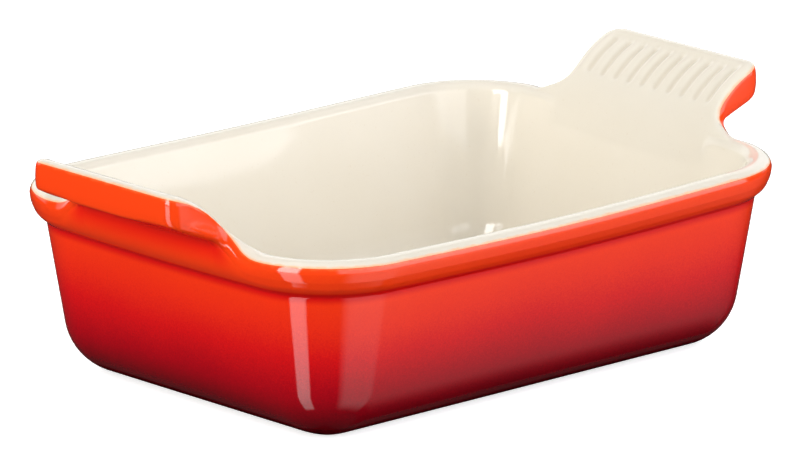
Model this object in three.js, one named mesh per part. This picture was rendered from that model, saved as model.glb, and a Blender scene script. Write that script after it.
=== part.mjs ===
import * as THREE from "three";

// Stoneware baking dish with two flared, ribbed handles. Sizes are in millimetres.
// +X runs along the dish from handle to handle, +Z is up, and the foot ring stands on z = 0.

// Rim seen from above
const RIM_LENGTH = 260;
const RIM_WIDTH = 193.1;
const RIM_HEIGHT = 75.2;
const RIM_CORNER_RADIUS = 40.7;
const LEAST_CORNER_RADIUS = 2.5;
const END_BOW = 1.8; // how far the middle of each end stands out from its corners
const SIDE_BOW = 1.4; // the same for the long sides
const RIM_SAG = 1.1; // how far the middle of each long side has settled in firing

// Rim band: a rounded bead that stands out from the wall
const BAND_STEP = 6.5; // how far the wall lies inside the rim, at the height of the groove
const BAND_BOTTOM_DROP = 14; // from the rim top down to the groove
const BAND_BULGE_DROP = 3.9; // from the rim top down to the widest line of the band
const BAND_RADIUS = 11.2; // round of the band below that line
const BAND_TURN = 56.7; // degrees through which it turns inwards
const BAND_BLEND = 1.2; // soft inner corner between band and wall

// Wall, base and floor
const WALL_DRAFT = 0.197; // inward run of the outer wall for each millimetre down
const BASE_FILLET_RADIUS = 24.8;
const GLAZE_END_ANGLE = 12; // degrees left on the base fillet where the glaze stops
const FOOT_WIDTH = 6.5;
const FOOT_RECESS = 1.3;
const FOOT_CLEARANCE = 0.6; // bare margin between the edge of the glaze and the foot ring
const EDGE_WIDTH = 4.9; // round outer edge of the rim top: how far in it starts
const EDGE_DROP = 3.75; // and how far down it ends
const RIM_INNER_INSET = 10.1; // where the rim top has rolled over into the inner wall
const RIM_INNER_DROP = 4;
const INNER_WALL_TOP_INSET = 11.9;
const INNER_WALL_TOP_DROP = 12;
const INNER_WALL_DRAFT = 0.225;
const FLOOR_HEIGHT = 8;
const FLOOR_FILLET_RADIUS = 18;

// Handles: a sheet that rises from the inner wall and flares outwards
const HANDLE_REACH = 22.7; // beyond the rim
const HANDLE_HALF_WIDTH = 41.8;
const HANDLE_CORNER_RADIUS = 7.9;
const HANDLE_EDGE_WIDTH = 4.6; // round edge of the handle, as on the rim
const HANDLE_EDGE_DROP = 3.75;
const NECK_RADIUS = 15; // concave sweep from the flank of the handle down to the rim, seen from the end
const FOLD_RADIUS = 3.6; // concave turn from the flank into the rim, seen from above
const FOLD_INSET = 2.1; // how far that turn cuts into the rim
const FLARE_RADIUS = 43.6; // arc of the top of the handle
const FLARE_START_INSET = 7.6; // where that arc leaves the inner wall
const FLARE_START_ANGLE = 64.8; // degrees above level at that place
const HANDLE_FACE_HEIGHT = 14;
const LOWER_EDGE_ROUND = 2.4;
const UNDERSIDE_RISE = 1.5; // the underside leaves the band this far above the rim top
const PLAIN_FACE_DROP = 7.4;

// Ribs on the handle tops: broad ridges between narrow flutes, in a sunk field inside the edge
const FLUTE_COUNT = 10;
const FLUTE_PITCH = 7.43;
const FLUTE_WIDTH = 2.6; // at half depth
const FLUTE_SLOPE = 1; // half the width of each side of a flute
const FLUTE_DEPTH = 0.9;
const FLUTE_INNER_END = -2.4; // from the rim line, along the handle
const FLUTE_OUTER_END = 15.4;
const FLUTE_END_FADE = 1.7;
const FIELD_RECESS = 1.1;
const FIELD_BORDER = 2.8; // slope from the edge down to the field, at the outer end
const FIELD_SIDE_BORDER = 8; // and at both flanks
const FIELD_INNER_FADE = 7; // length over which the field runs out towards the inner wall

const GLAZE_THICKNESS = 0.5;

const HALF_LENGTH = RIM_LENGTH / 2;
const HALF_WIDTH = RIM_WIDTH / 2;
const END_STRAIGHT = HALF_WIDTH - RIM_CORNER_RADIUS;
const CORNER_RUN = (RIM_CORNER_RADIUS * Math.PI) / 2;
const SIDE_STRAIGHT = HALF_LENGTH - RIM_CORNER_RADIUS;
const QUARTER_RUN = END_STRAIGHT + CORNER_RUN + SIDE_STRAIGHT;
const FLARE_ANGLE = THREE.MathUtils.degToRad(FLARE_START_ANGLE);
const BAND_SLOPE = Math.tan(THREE.MathUtils.degToRad(BAND_TURN));
const BAND_ARC_DEPTH = BAND_RADIUS * Math.sin(THREE.MathUtils.degToRad(BAND_TURN));
const BAND_ARC_INSET = BAND_RADIUS * (1 - Math.cos(THREE.MathUtils.degToRad(BAND_TURN)));

// Stations along the end of the dish, counted along the rim from the middle of the handle
const GRIP_END = HANDLE_HALF_WIDTH - HANDLE_CORNER_RADIUS;
const FLANK_END = HANDLE_HALF_WIDTH - HANDLE_EDGE_WIDTH - 0.9;
const CORNER_END = (GRIP_END + FLANK_END) / 2;
const FOLD_END = HANDLE_HALF_WIDTH + FOLD_RADIUS + 1.5;
const NECK_END = HANDLE_HALF_WIDTH + NECK_RADIUS + 1.7;

const { lerp, smoothstep, clamp } = THREE.MathUtils;

// Smaller of two heights, eased where they come within the given width of each other.
function softMin(a, b, width) {
  if (width <= 0) {
    return Math.min(a, b);
  }
  const near = Math.max(width - Math.abs(a - b), 0);
  return Math.min(a, b) - (near * near) / (4 * width);
}

// Point and outward direction on the rim outline of one quarter, moved in by an inset. Ends and
// sides bow outwards a little, run smoothly into the round corners, and are straight at the base.
function outline(run, inset, height) {
  const radius = Math.max(RIM_CORNER_RADIUS - inset, LEAST_CORNER_RADIUS);
  const share = clamp(height / RIM_HEIGHT, 0, 1);
  const endTilt = Math.atan((2 * END_BOW * share) / END_STRAIGHT);
  const sideTilt = Math.atan((2 * SIDE_BOW * share) / SIDE_STRAIGHT);
  let endHalf = END_STRAIGHT;
  let sideHalf = SIDE_STRAIGHT;
  let endBow = 0;
  let sideBow = 0;
  for (let pass = 0; pass < 4; pass++) {
    endBow = (Math.tan(endTilt) * endHalf) / 2;
    sideBow = (Math.tan(sideTilt) * sideHalf) / 2;
    endHalf = HALF_WIDTH - inset - sideBow - radius * (Math.cos(sideTilt) - Math.sin(endTilt));
    sideHalf = HALF_LENGTH - inset - endBow - radius * (Math.cos(endTilt) - Math.sin(sideTilt));
  }
  if (run <= END_STRAIGHT) {
    const along = run / END_STRAIGHT;
    const tilt = Math.atan(Math.tan(endTilt) * along);
    return {
      x: HALF_LENGTH - inset - endBow * along * along,
      y: endHalf * along,
      nx: Math.cos(tilt),
      ny: Math.sin(tilt),
    };
  }
  if (run <= END_STRAIGHT + CORNER_RUN) {
    const turn = lerp(endTilt, Math.PI / 2 - sideTilt, (run - END_STRAIGHT) / CORNER_RUN);
    const nx = Math.cos(turn);
    const ny = Math.sin(turn);
    return {
      x: HALF_LENGTH - inset - endBow + radius * (nx - Math.cos(endTilt)),
      y: endHalf + radius * (ny - Math.sin(endTilt)),
      nx,
      ny,
    };
  }
  const along = (QUARTER_RUN - run) / SIDE_STRAIGHT;
  const tilt = Math.atan(Math.tan(sideTilt) * along);
  return {
    x: sideHalf * along,
    y: HALF_WIDTH - inset - sideBow * along * along,
    nx: Math.sin(tilt),
    ny: Math.cos(tilt),
  };
}

// Height of the handle's top sheet above the rim, at a place outside (+) or inside (-) the rim line:
// an arc that goes on downwards until it is as steep as the inner wall, and then straight.
function flareHeight(out) {
  const slope = Math.atan(1 / INNER_WALL_DRAFT);
  const sine = Math.sin(FLARE_ANGLE) - (out + FLARE_START_INSET) / FLARE_RADIUS;
  const arc = Math.min(sine, Math.sin(slope));
  const straight = (sine - arc) * FLARE_RADIUS * Math.tan(slope);
  return FLARE_RADIUS * (Math.sqrt(1 - arc * arc) - Math.cos(FLARE_ANGLE)) - straight;
}

// Height limit of the neck, where the handle sweeps down into the rim.
function neckHeight(y) {
  const past = HANDLE_HALF_WIDTH + NECK_RADIUS - y;
  if (past <= 0) {
    return 0;
  }
  if (past >= NECK_RADIUS) {
    return NECK_RADIUS + (past - NECK_RADIUS) * 20;
  }
  return NECK_RADIUS - Math.sqrt(NECK_RADIUS * NECK_RADIUS - past * past);
}

// Depth of the flutes between the ribs.
function fluteDepth(out, y) {
  if (y > (FLUTE_COUNT * FLUTE_PITCH) / 2) {
    return 0;
  }
  const centre = (Math.floor(y / FLUTE_PITCH) + 0.5) * FLUTE_PITCH;
  const half = FLUTE_WIDTH / 2;
  const hollow = 1 - smoothstep(Math.abs(y - centre), half - FLUTE_SLOPE, half + FLUTE_SLOPE);
  const inner = smoothstep(out, FLUTE_INNER_END, FLUTE_INNER_END + FLUTE_END_FADE);
  const outer = 1 - smoothstep(out, FLUTE_OUTER_END - FLUTE_END_FADE, FLUTE_OUTER_END);
  return FLUTE_DEPTH * hollow * inner * outer;
}

// Depth of the ribbed field below the raised edge of the handle.
function fieldDepth(out, y) {
  const fromEnd = HANDLE_REACH - HANDLE_EDGE_WIDTH - out;
  const fromFlank = HANDLE_HALF_WIDTH - HANDLE_EDGE_WIDTH - y;
  const border = smoothstep(fromEnd, 0, FIELD_BORDER) * smoothstep(fromFlank, 0, FIELD_SIDE_BORDER);
  const fadeEnd = FLUTE_INNER_END + FLUTE_END_FADE;
  return FIELD_RECESS * border * smoothstep(out, fadeEnd - FIELD_INNER_FADE, fadeEnd);
}

// Outer edge of rim and handle: place, outward direction, height of the top sheet there, and how
// far the edge overhangs the band (1 on the handle, 0 on the plain rim).
function edgeAt(run) {
  const corner = HANDLE_HALF_WIDTH - HANDLE_CORNER_RADIUS;
  const flankStart = HANDLE_REACH - HANDLE_CORNER_RADIUS;
  const flankEnd = outline(FOLD_END, 0, RIM_HEIGHT).x - HALF_LENGTH + FOLD_RADIUS;
  if (run <= GRIP_END) {
    return handleEdge(HANDLE_REACH, run, 1, 0, 1);
  }
  if (run <= CORNER_END) {
    const turn = ((run - GRIP_END) / (CORNER_END - GRIP_END)) * (Math.PI / 2);
    const nx = Math.cos(turn);
    const ny = Math.sin(turn);
    const out = flankStart + HANDLE_CORNER_RADIUS * nx;
    return handleEdge(out, corner + HANDLE_CORNER_RADIUS * ny, nx, ny, 1);
  }
  if (run <= FLANK_END) {
    const share = (run - CORNER_END) / (FLANK_END - CORNER_END);
    return handleEdge(lerp(flankStart, flankEnd, share), HANDLE_HALF_WIDTH, 0, 1, 1);
  }
  if (run <= FOLD_END) {
    const turn = ((run - FLANK_END) / (FOLD_END - FLANK_END)) * (Math.PI / 2);
    const nx = Math.sin(turn);
    const ny = Math.cos(turn);
    const y = HANDLE_HALF_WIDTH + FOLD_RADIUS * (1 - ny);
    return handleEdge(flankEnd - FOLD_RADIUS * nx, y, nx, ny, ny * ny);
  }
  const rim = outline(run, 0, RIM_HEIGHT);
  return { ...rim, height: neckHeight(rim.y), overhang: 0 };
}

function handleEdge(out, y, nx, ny, overhang) {
  const height = softMin(flareHeight(out), neckHeight(y), 3);
  return { x: HALF_LENGTH + out, y, nx, ny, height, overhang };
}

// Height of the top surface at a place on a handle, neck or plain rim. The rim top itself rolls
// down towards the inner wall with its inset, and the foot of the handle follows the bow of the end.
function topHeight(x, y, inset) {
  const roll = clamp((inset - EDGE_WIDTH) / (RIM_INNER_INSET - EDGE_WIDTH), 0, 1);
  const rimTop = RIM_INNER_DROP * (Math.sqrt(1 - roll * roll) - 1);
  const out = x - HALF_LENGTH;
  const limit = neckHeight(y);
  const bow = END_BOW * (y / END_STRAIGHT) ** 2 * (1 - smoothstep(out, -RIM_INNER_INSET, -2));
  let rise = flareHeight(out + bow) - rimTop;
  if (rise < 0) {
    rise *= smoothstep(limit, 0, NECK_RADIUS);
  }
  const lift = softMin(rise, limit, Math.min(limit, rise, 4));
  return RIM_HEIGHT + rimTop + lift - fieldDepth(out, y) - fluteDepth(out, y);
}

// How far the edge of the top is drawn in where the flank of a handle turns into the rim.
function foldInset(run) {
  if (run <= FOLD_END) {
    return FOLD_INSET * smoothstep(run, FLANK_END, FOLD_END);
  }
  return FOLD_INSET * (1 - smoothstep(run, FOLD_END, NECK_END + 4));
}

// Points of one station on the round outer edge, as shares of its width, from the top down. The
// fold at the neck draws them in by these shares of its inset.
const EDGE_SHARES = [1, 0.58, 0.28, 0.125, 0];
const FOLD_SHARES = [0.3, 0.6, 0.85, 0.8, 0.35];
const GLAZE_BOUNDARY_STEP = 3; // cream above this step, colour below it

function edgePoint(run, step) {
  const edge = edgeAt(run);
  const onHandle = smoothstep(edge.height, 0, 12);
  const share = EDGE_SHARES[step];
  const inward = share * lerp(EDGE_WIDTH, HANDLE_EDGE_WIDTH, onHandle);
  const depth = lerp(EDGE_DROP, HANDLE_EDGE_DROP, onHandle);
  const drop = depth * (1 - Math.sqrt(share * (2 - share)));
  const move = inward + foldInset(run) * FOLD_SHARES[step];
  const x = edge.x - edge.nx * move;
  const y = edge.y - edge.ny * move;
  return [x, y, topHeight(x, y, inward) - drop];
}

// Heights, from the rim top, of the lower edge of the handle face and of the top of the band.
function faceBottom(run) {
  const edge = edgeAt(run);
  const outerBottom = flareHeight(HANDLE_REACH) - HANDLE_FACE_HEIGHT;
  const underside = lerp(UNDERSIDE_RISE, outerBottom, (edge.x - HALF_LENGTH) / HANDLE_REACH);
  return lerp(-PLAIN_FACE_DROP, underside, edge.overhang);
}

function bandTop(run) {
  return softMin(UNDERSIDE_RISE, faceBottom(run) - 3, 2);
}

// Inset of the outside below the rim: round of the band, slope into the groove, then the wall.
function bandInset(below) {
  const under = Math.max(below - BAND_BULGE_DROP, 0);
  let inset = BAND_ARC_INSET + (under - BAND_ARC_DEPTH) * BAND_SLOPE;
  if (under < BAND_ARC_DEPTH) {
    inset = BAND_RADIUS - Math.sqrt(BAND_RADIUS * BAND_RADIUS - under * under);
  }
  return softMin(inset, wallInset(RIM_HEIGHT - below), BAND_BLEND);
}

function wallInset(z) {
  return BAND_STEP + WALL_DRAFT * (RIM_HEIGHT - BAND_BOTTOM_DROP - z);
}

// Depth below the rim where the slope of the band meets the wall.
function grooveDrop() {
  const arcEnd = BAND_BULGE_DROP + BAND_ARC_DEPTH;
  const gap = wallInset(RIM_HEIGHT - arcEnd) - BAND_ARC_INSET;
  return arcEnd + gap / (BAND_SLOPE - WALL_DRAFT);
}

function bandPoint(run, share) {
  const drop = lerp(grooveDrop() - BAND_BLEND, -bandTop(run), share);
  return ring(run, bandInset(drop), RIM_HEIGHT - drop);
}

function ring(run, inset, z) {
  const p = outline(run, inset, z);
  return [p.x, p.y, z];
}

// Rounded lower edge of the handle face; on the plain rim it lies flat on the band.
function lowerEdgePoint(run, inward, lift) {
  const edge = edgeAt(run);
  const z = faceBottom(run) + lift;
  const out = lerp(bandInset(-z), inward, edge.overhang);
  return [edge.x - edge.nx * out, edge.y - edge.ny * out, RIM_HEIGHT + z];
}

function undersidePoint(run, share) {
  const a = bandPoint(run, 1);
  const b = lowerEdgePoint(run, LOWER_EDGE_ROUND * 1.6, -0.35);
  return [lerp(a[0], b[0], share), lerp(a[1], b[1], share), lerp(a[2], b[2], share)];
}

// Top sheet between the rounded edge (share 1) and the inner wall (share 0). On the handle its
// lines run along the ribs and turn towards the flank only near the edge.
function sheetPoint(run, share) {
  const outer = edgePoint(run, 0);
  const inner = outline(run, RIM_INNER_INSET, RIM_HEIGHT);
  const x = lerp(inner.x, outer[0], share);
  const y = lerp(inner.y, outer[1], run <= FLANK_END ? share ** 4 : share);
  return [x, y, topHeight(x, y, lerp(RIM_INNER_INSET, EDGE_WIDTH, share))];
}

// Corner points of a fillet between a sloping wall and a level floor.
function filletRows(wallInsetAtFloor, draft, radius, floor, from, to, count) {
  const centre = wallInsetAtFloor - draft * radius + radius * Math.hypot(1, draft);
  const rows = [];
  for (let i = 0; i < count; i++) {
    const angle = lerp(from, to, i / (count - 1));
    rows.push([centre - radius * Math.sin(angle), floor + radius * (1 - Math.cos(angle))]);
  }
  return rows;
}

// Stations around one quarter, for rows that need fine, medium or few points.
function spread(from, to, count) {
  return Array.from({ length: count }, (_, i) => lerp(from, to, (i + 1) / count));
}

const handleStations = [
  ...spread(GRIP_END, CORNER_END, 4),
  ...spread(CORNER_END, FLANK_END, 2),
  ...spread(FLANK_END, FOLD_END, 4),
  ...spread(FOLD_END, NECK_END, 4),
];
const cornerStations = spread(NECK_END, END_STRAIGHT + CORNER_RUN, 5);
const sideStations = spread(END_STRAIGHT + CORNER_RUN, QUARTER_RUN, 3);
const tailStations = [...handleStations, ...cornerStations, ...sideStations];
const fluteSide = FLUTE_WIDTH / 2 + FLUTE_SLOPE * 0.6;
const fluteFloor = FLUTE_WIDTH / 2 - FLUTE_SLOPE * 0.6;
const ribStations = [];
for (let centre = FLUTE_PITCH / 2; centre < GRIP_END; centre += FLUTE_PITCH) {
  ribStations.push(centre - fluteSide, centre - fluteFloor, centre + fluteFloor, centre + fluteSide);
}

const FINE = [0, ...ribStations.filter((run) => run < GRIP_END - 0.3), GRIP_END, ...tailStations];
const MEDIUM = [0, ...spread(0, GRIP_END, 3), ...tailStations];
const FEW = [
  0,
  ...spread(0, END_STRAIGHT, 2),
  ...spread(END_STRAIGHT, END_STRAIGHT + CORNER_RUN, 6),
  ...sideStations,
];

// Rows of the glazed surface, from the base up the outside, over the edge and down the inside.
const innerInset = (z) =>
  INNER_WALL_TOP_INSET + INNER_WALL_DRAFT * (RIM_HEIGHT - INNER_WALL_TOP_DROP - z);
const rows = [];
const addRow = (stations, place) => rows.push({ stations, place }) - 1;

const lowerFillet = filletRows(
  wallInset(0),
  WALL_DRAFT,
  BASE_FILLET_RADIUS,
  0,
  THREE.MathUtils.degToRad(GLAZE_END_ANGLE),
  Math.PI / 2 - Math.atan(WALL_DRAFT),
  5,
);
for (const [inset, z] of lowerFillet) {
  addRow(FEW, (run) => ring(run, inset, z));
}
const groove = grooveDrop();
const underGroove = groove + BAND_BLEND;
addRow(FEW, (run) => ring(run, bandInset(underGroove), RIM_HEIGHT - underGroove));
addRow(MEDIUM, (run) => ring(run, bandInset(groove), RIM_HEIGHT - groove));
for (const share of [0, 0.33, 0.66, 1]) {
  addRow(MEDIUM, (run) => bandPoint(run, share));
}
addRow(MEDIUM, (run) => undersidePoint(run, 0.5));
addRow(MEDIUM, (run) => lowerEdgePoint(run, LOWER_EDGE_ROUND * 1.6, -0.35));
addRow(MEDIUM, (run) => lowerEdgePoint(run, LOWER_EDGE_ROUND * 0.35, 0.2));
addRow(MEDIUM, (run) => lowerEdgePoint(run, 0, LOWER_EDGE_ROUND));
addRow(MEDIUM, (run) => edgePoint(run, 4));
const boundaryRow = addRow(MEDIUM, (run) => edgePoint(run, GLAZE_BOUNDARY_STEP));
addRow(MEDIUM, (run) => edgePoint(run, 2));
addRow(MEDIUM, (run) => edgePoint(run, 1));
for (const share of [1, 0.9, 0.84, 0.6, 0.33, 0.265]) {
  addRow(FINE, (run) => sheetPoint(run, share));
}
addRow(MEDIUM, (run) => sheetPoint(run, 0.12));
addRow(MEDIUM, (run) => sheetPoint(run, 0));
const wallTop = RIM_HEIGHT - INNER_WALL_TOP_DROP;
addRow(MEDIUM, (run) => ring(run, innerInset(wallTop), wallTop));
const upperFillet = filletRows(
  innerInset(FLOOR_HEIGHT),
  INNER_WALL_DRAFT,
  FLOOR_FILLET_RADIUS,
  FLOOR_HEIGHT,
  Math.PI / 2 - Math.atan(INNER_WALL_DRAFT),
  0,
  5,
);
for (const [inset, z] of upperFillet) {
  addRow(FEW, (run) => ring(run, inset, z));
}

// The long sides settle a little in firing, most at mid-length and at the rim.
function settle([x, y, z]) {
  const along = Math.min(Math.abs(x) / (SIDE_STRAIGHT + RIM_CORNER_RADIUS / 2), 1);
  const amount = (1 - along * along) ** 2 * smoothstep(z, FLOOR_HEIGHT + 10, RIM_HEIGHT);
  return [x, y, z - RIM_SAG * amount];
}

// Closed ring of points through all four quarters. Each point knows its place along the ring.
function fullRing({ stations, place }) {
  const points = [];
  const along = [];
  const whole = QUARTER_RUN;
  for (let quarter = 0; quarter < 4; quarter++) {
    const turned = quarter % 2 === 1;
    const order = turned ? [...stations].reverse() : stations;
    const signX = quarter === 1 || quarter === 2 ? -1 : 1;
    const signY = quarter >= 2 ? -1 : 1;
    for (const run of order.slice(0, -1)) {
      const [x, y, z] = settle(place(run));
      points.push([x * signX, y * signY, z]);
      along.push(quarter * whole + (turned ? whole - run : run));
    }
  }
  return { points, along };
}

// A triangle mesh that is put together from rings.
class Skin {
  constructor() {
    this.points = [];
    this.faces = [];
  }

  addRing(full) {
    const first = this.points.length;
    this.points.push(...full.points);
    return { ids: full.points.map((_, i) => first + i), along: full.along };
  }

  // Joins two rings, where the second lies further along the surface.
  join(a, b) {
    const n = a.ids.length;
    const m = b.ids.length;
    const end = 4 * QUARTER_RUN;
    let i = 0;
    let j = 0;
    while (i < n || j < m) {
      const nextA = i < n ? (i + 1 < n ? a.along[i + 1] : end) : Infinity;
      const nextB = j < m ? (j + 1 < m ? b.along[j + 1] : end) : Infinity;
      const a0 = a.ids[i % n];
      const b0 = b.ids[j % m];
      const a1 = a.ids[(i + 1) % n];
      const b1 = b.ids[(j + 1) % m];
      if (Math.abs(nextA - nextB) < 1e-6) {
        this.quad(a0, a1, b1, b0);
        i++;
        j++;
      } else if (nextA < nextB) {
        this.faces.push([a0, a1, b0]);
        i++;
      } else {
        this.faces.push([a0, b1, b0]);
        j++;
      }
    }
  }

  // Two triangles that share the shorter diagonal.
  quad(a0, a1, b1, b0) {
    if (this.gap(a0, b1) <= this.gap(a1, b0)) {
      this.faces.push([a0, a1, b1], [a0, b1, b0]);
    } else {
      this.faces.push([a0, a1, b0], [a1, b1, b0]);
    }
  }

  gap(i, j) {
    const p = this.points[i];
    const q = this.points[j];
    return Math.hypot(p[0] - q[0], p[1] - q[1], p[2] - q[2]);
  }

  // Flat lid inside a level ring, facing up or down.
  cap(edge, up) {
    const contour = edge.ids.map((id) => new THREE.Vector2(...this.points[id]));
    for (const [i, j, k] of THREE.ShapeUtils.triangulateShape(contour, [])) {
      const face = [edge.ids[i], edge.ids[j], edge.ids[k]];
      this.faces.push(up ? face : face.reverse());
    }
  }

  normals() {
    const sums = this.points.map(() => new THREE.Vector3());
    const triangle = new THREE.Triangle();
    const normal = new THREE.Vector3();
    for (const face of this.faces) {
      triangle.set(...face.map((id) => new THREE.Vector3(...this.points[id])));
      triangle.getNormal(normal).multiplyScalar(triangle.getArea());
      face.forEach((id) => sums[id].add(normal));
    }
    return sums.map((sum) => sum.normalize());
  }

  mesh(name, look) {
    const geometry = new THREE.BufferGeometry();
    geometry.setAttribute(
      "position",
      new THREE.BufferAttribute(new Float32Array(this.points.flat()), 3),
    );
    geometry.setIndex(this.faces.flat());
    geometry.computeVertexNormals();
    const mesh = new THREE.Mesh(geometry, new THREE.MeshStandardMaterial(look));
    mesh.name = name;
    return mesh;
  }
}

// The glazed surface, and the clay surface one glaze thickness below it.
const surface = new Skin();
const rings = rows.map((row) => surface.addRing(fullRing(row)));
for (let i = 0; i + 1 < rings.length; i++) {
  surface.join(rings[i], rings[i + 1]);
}
surface.cap(rings.at(-1), true);
const under = surface
  .normals()
  .map((n, i) => surface.points[i].map((v, k) => v - n.getComponent(k) * GLAZE_THICKNESS));

// A glaze coat over the rows from one ring to another: its face, its back and its edges.
function glazeCoat(first, last, name, look) {
  const start = rings[first].ids[0];
  const end = rings[last].ids.at(-1) + 1;
  const count = end - start;
  const coat = new Skin();
  coat.points = [...surface.points.slice(start, end), ...under.slice(start, end)];
  for (const face of surface.faces) {
    if (face.every((id) => id >= start && id < end)) {
      const ids = face.map((id) => id - start);
      coat.faces.push(ids, [ids[0] + count, ids[2] + count, ids[1] + count]);
    }
  }
  const rim = (edge, reverse) => {
    const ids = edge.ids.map((id) => id - start);
    ids.forEach((id, i) => {
      const next = ids[(i + 1) % ids.length];
      const sides = [
        [next, id, id + count],
        [next, id + count, next + count],
      ];
      coat.faces.push(...(reverse ? sides.map((side) => side.reverse()) : sides));
    });
  };
  rim(rings[first], false);
  if (last < rings.length - 1) {
    rim(rings[last], true);
  }
  return coat.mesh(name, look);
}

// The clay body: the surface under the glaze, the foot ring and the recess inside it.
const footOuter = lowerFillet[0][0] + FOOT_CLEARANCE;
const footInner = footOuter + FOOT_WIDTH;
const glazeEndHeight = lowerFillet[0][1];

function bodyMesh() {
  const body = new Skin();
  body.points = under.map((p) => [...p]);
  body.faces = surface.faces.map((face) => [...face]);
  const down = [
    [footOuter, glazeEndHeight + GLAZE_THICKNESS],
    [footOuter + 0.3, 0],
    [footInner, 0],
    [footInner + 0.8, FOOT_RECESS + GLAZE_THICKNESS],
  ].map(([inset, z]) => body.addRing(fullRing({ stations: FEW, place: (run) => ring(run, inset, z) })));
  let upper = rings[0];
  for (const lower of down) {
    body.join(lower, upper);
    upper = lower;
  }
  body.cap(upper, false);
  return body.mesh("stoneware_body", { color: "#c9ad8a", roughness: 0.85, metalness: 0 });
}

// The glaze panel on the roof of the recess under the base.
function basePanel() {
  const panel = new Skin();
  const at = (z) =>
    panel.addRing(fullRing({ stations: FEW, place: (run) => ring(run, footInner + 1.6, z) }));
  const lower = at(FOOT_RECESS);
  const upper = at(FOOT_RECESS + GLAZE_THICKNESS);
  panel.join(lower, upper);
  panel.cap(lower, false);
  panel.cap(upper, true);
  return panel.mesh("base_glaze", { color: "#8c1a1c", roughness: 0.2, metalness: 0 });
}

const dish = new THREE.Group();
dish.name = "baking_dish";
dish.add(bodyMesh());
dish.add(
  glazeCoat(0, boundaryRow, "outer_glaze", { color: "#e63a1e", roughness: 0.12, metalness: 0 }),
);
dish.add(
  glazeCoat(boundaryRow, rings.length - 1, "inner_glaze", {
    color: "#f0e8d8",
    roughness: 0.15,
    metalness: 0,
  }),
);
dish.add(basePanel());

export default dish;
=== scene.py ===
"""Looks of a glazed stoneware baking dish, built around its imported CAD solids."""

import math

import bpy
import numpy as np
from mathutils import Matrix, Vector


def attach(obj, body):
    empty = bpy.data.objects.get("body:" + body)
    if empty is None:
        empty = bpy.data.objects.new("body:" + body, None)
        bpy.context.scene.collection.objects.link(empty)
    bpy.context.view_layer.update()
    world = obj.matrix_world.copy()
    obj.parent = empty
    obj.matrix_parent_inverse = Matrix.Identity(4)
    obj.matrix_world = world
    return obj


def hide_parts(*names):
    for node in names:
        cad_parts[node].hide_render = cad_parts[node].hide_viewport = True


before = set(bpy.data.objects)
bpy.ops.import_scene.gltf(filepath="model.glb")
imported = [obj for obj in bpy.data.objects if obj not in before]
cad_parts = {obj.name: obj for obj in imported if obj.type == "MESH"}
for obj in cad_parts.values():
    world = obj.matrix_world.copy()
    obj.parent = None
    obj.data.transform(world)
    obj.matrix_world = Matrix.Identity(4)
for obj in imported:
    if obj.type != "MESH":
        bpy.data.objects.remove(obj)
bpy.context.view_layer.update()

# Sizes of the dish in millimetres. They are those of the CAD source, apart from the flutes, the lower
# corners of the handles and the necks, which are shaped more finely here.

RIM_LENGTH = 260.0
RIM_WIDTH = 193.1
RIM_HEIGHT = 75.2
RIM_CORNER_RADIUS = 40.7
LEAST_CORNER_RADIUS = 2.5
END_BOW = 1.8
SIDE_BOW = 1.4
RIM_SAG = 1.1
BAND_STEP = 6.5
BAND_BOTTOM_DROP = 14.0
BAND_BULGE_DROP = 3.9
BAND_RADIUS = 11.2
BAND_TURN = math.radians(56.7)
BAND_BLEND = 1.2
WALL_DRAFT = 0.197
BASE_FILLET_RADIUS = 24.8
GLAZE_END_ANGLE = math.radians(12)
FOOT_WIDTH = 6.5
FOOT_RECESS = 1.3
FOOT_CLEARANCE = 0.6
RIM_INNER_INSET = 10.1
RIM_INNER_DROP = 4.0
INNER_WALL_TOP_INSET = 11.9
INNER_WALL_TOP_DROP = 12.0
INNER_WALL_DRAFT = 0.225
FLOOR_HEIGHT = 8.0
FLOOR_FILLET_RADIUS = 18.0
EDGE_WIDTH = 4.9
EDGE_DROP = 3.75
HANDLE_EDGE_WIDTH = 4.6
HANDLE_EDGE_DROP = 3.75
EDGE_SHARES = [1, 0.58, 0.28, 0.125, 0]
HANDLE_REACH = 22.7
HANDLE_HALF_WIDTH = 41.8
HANDLE_CORNER_RADIUS = 7.9
NECK_RADIUS = 15.0
FOLD_RADIUS = 3.6
FOLD_INSET = 2.1
FLARE_RADIUS = 43.6
FLARE_START_INSET = 7.6
FLARE_ANGLE = math.radians(64.8)
HANDLE_FACE_HEIGHT = 14.0
LOWER_EDGE_ROUND = 2.4
UNDERSIDE_RISE = 1.5
PLAIN_FACE_DROP = 7.4
FACE_CORNER_LIFT = 1.1
FACE_CORNER_RUN = 24.0
NECK_FACE_RISE = 6.0
NECK_PASSES = 8
FLUTE_COUNT = 10
FLUTE_PITCH = 7.43
FLUTE_DEPTH = 1.3
FLUTE_INNER_END = -1.6
FLUTE_OUTER_END = 16.4
FLUTE_END_FADE = 2.2
FIELD_RECESS = 1.1
FIELD_BORDER = 2.8
FIELD_SIDE_BORDER = 8.0
FIELD_INNER_FADE = 7.0
GLAZE_THICKNESS = 0.5

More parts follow.
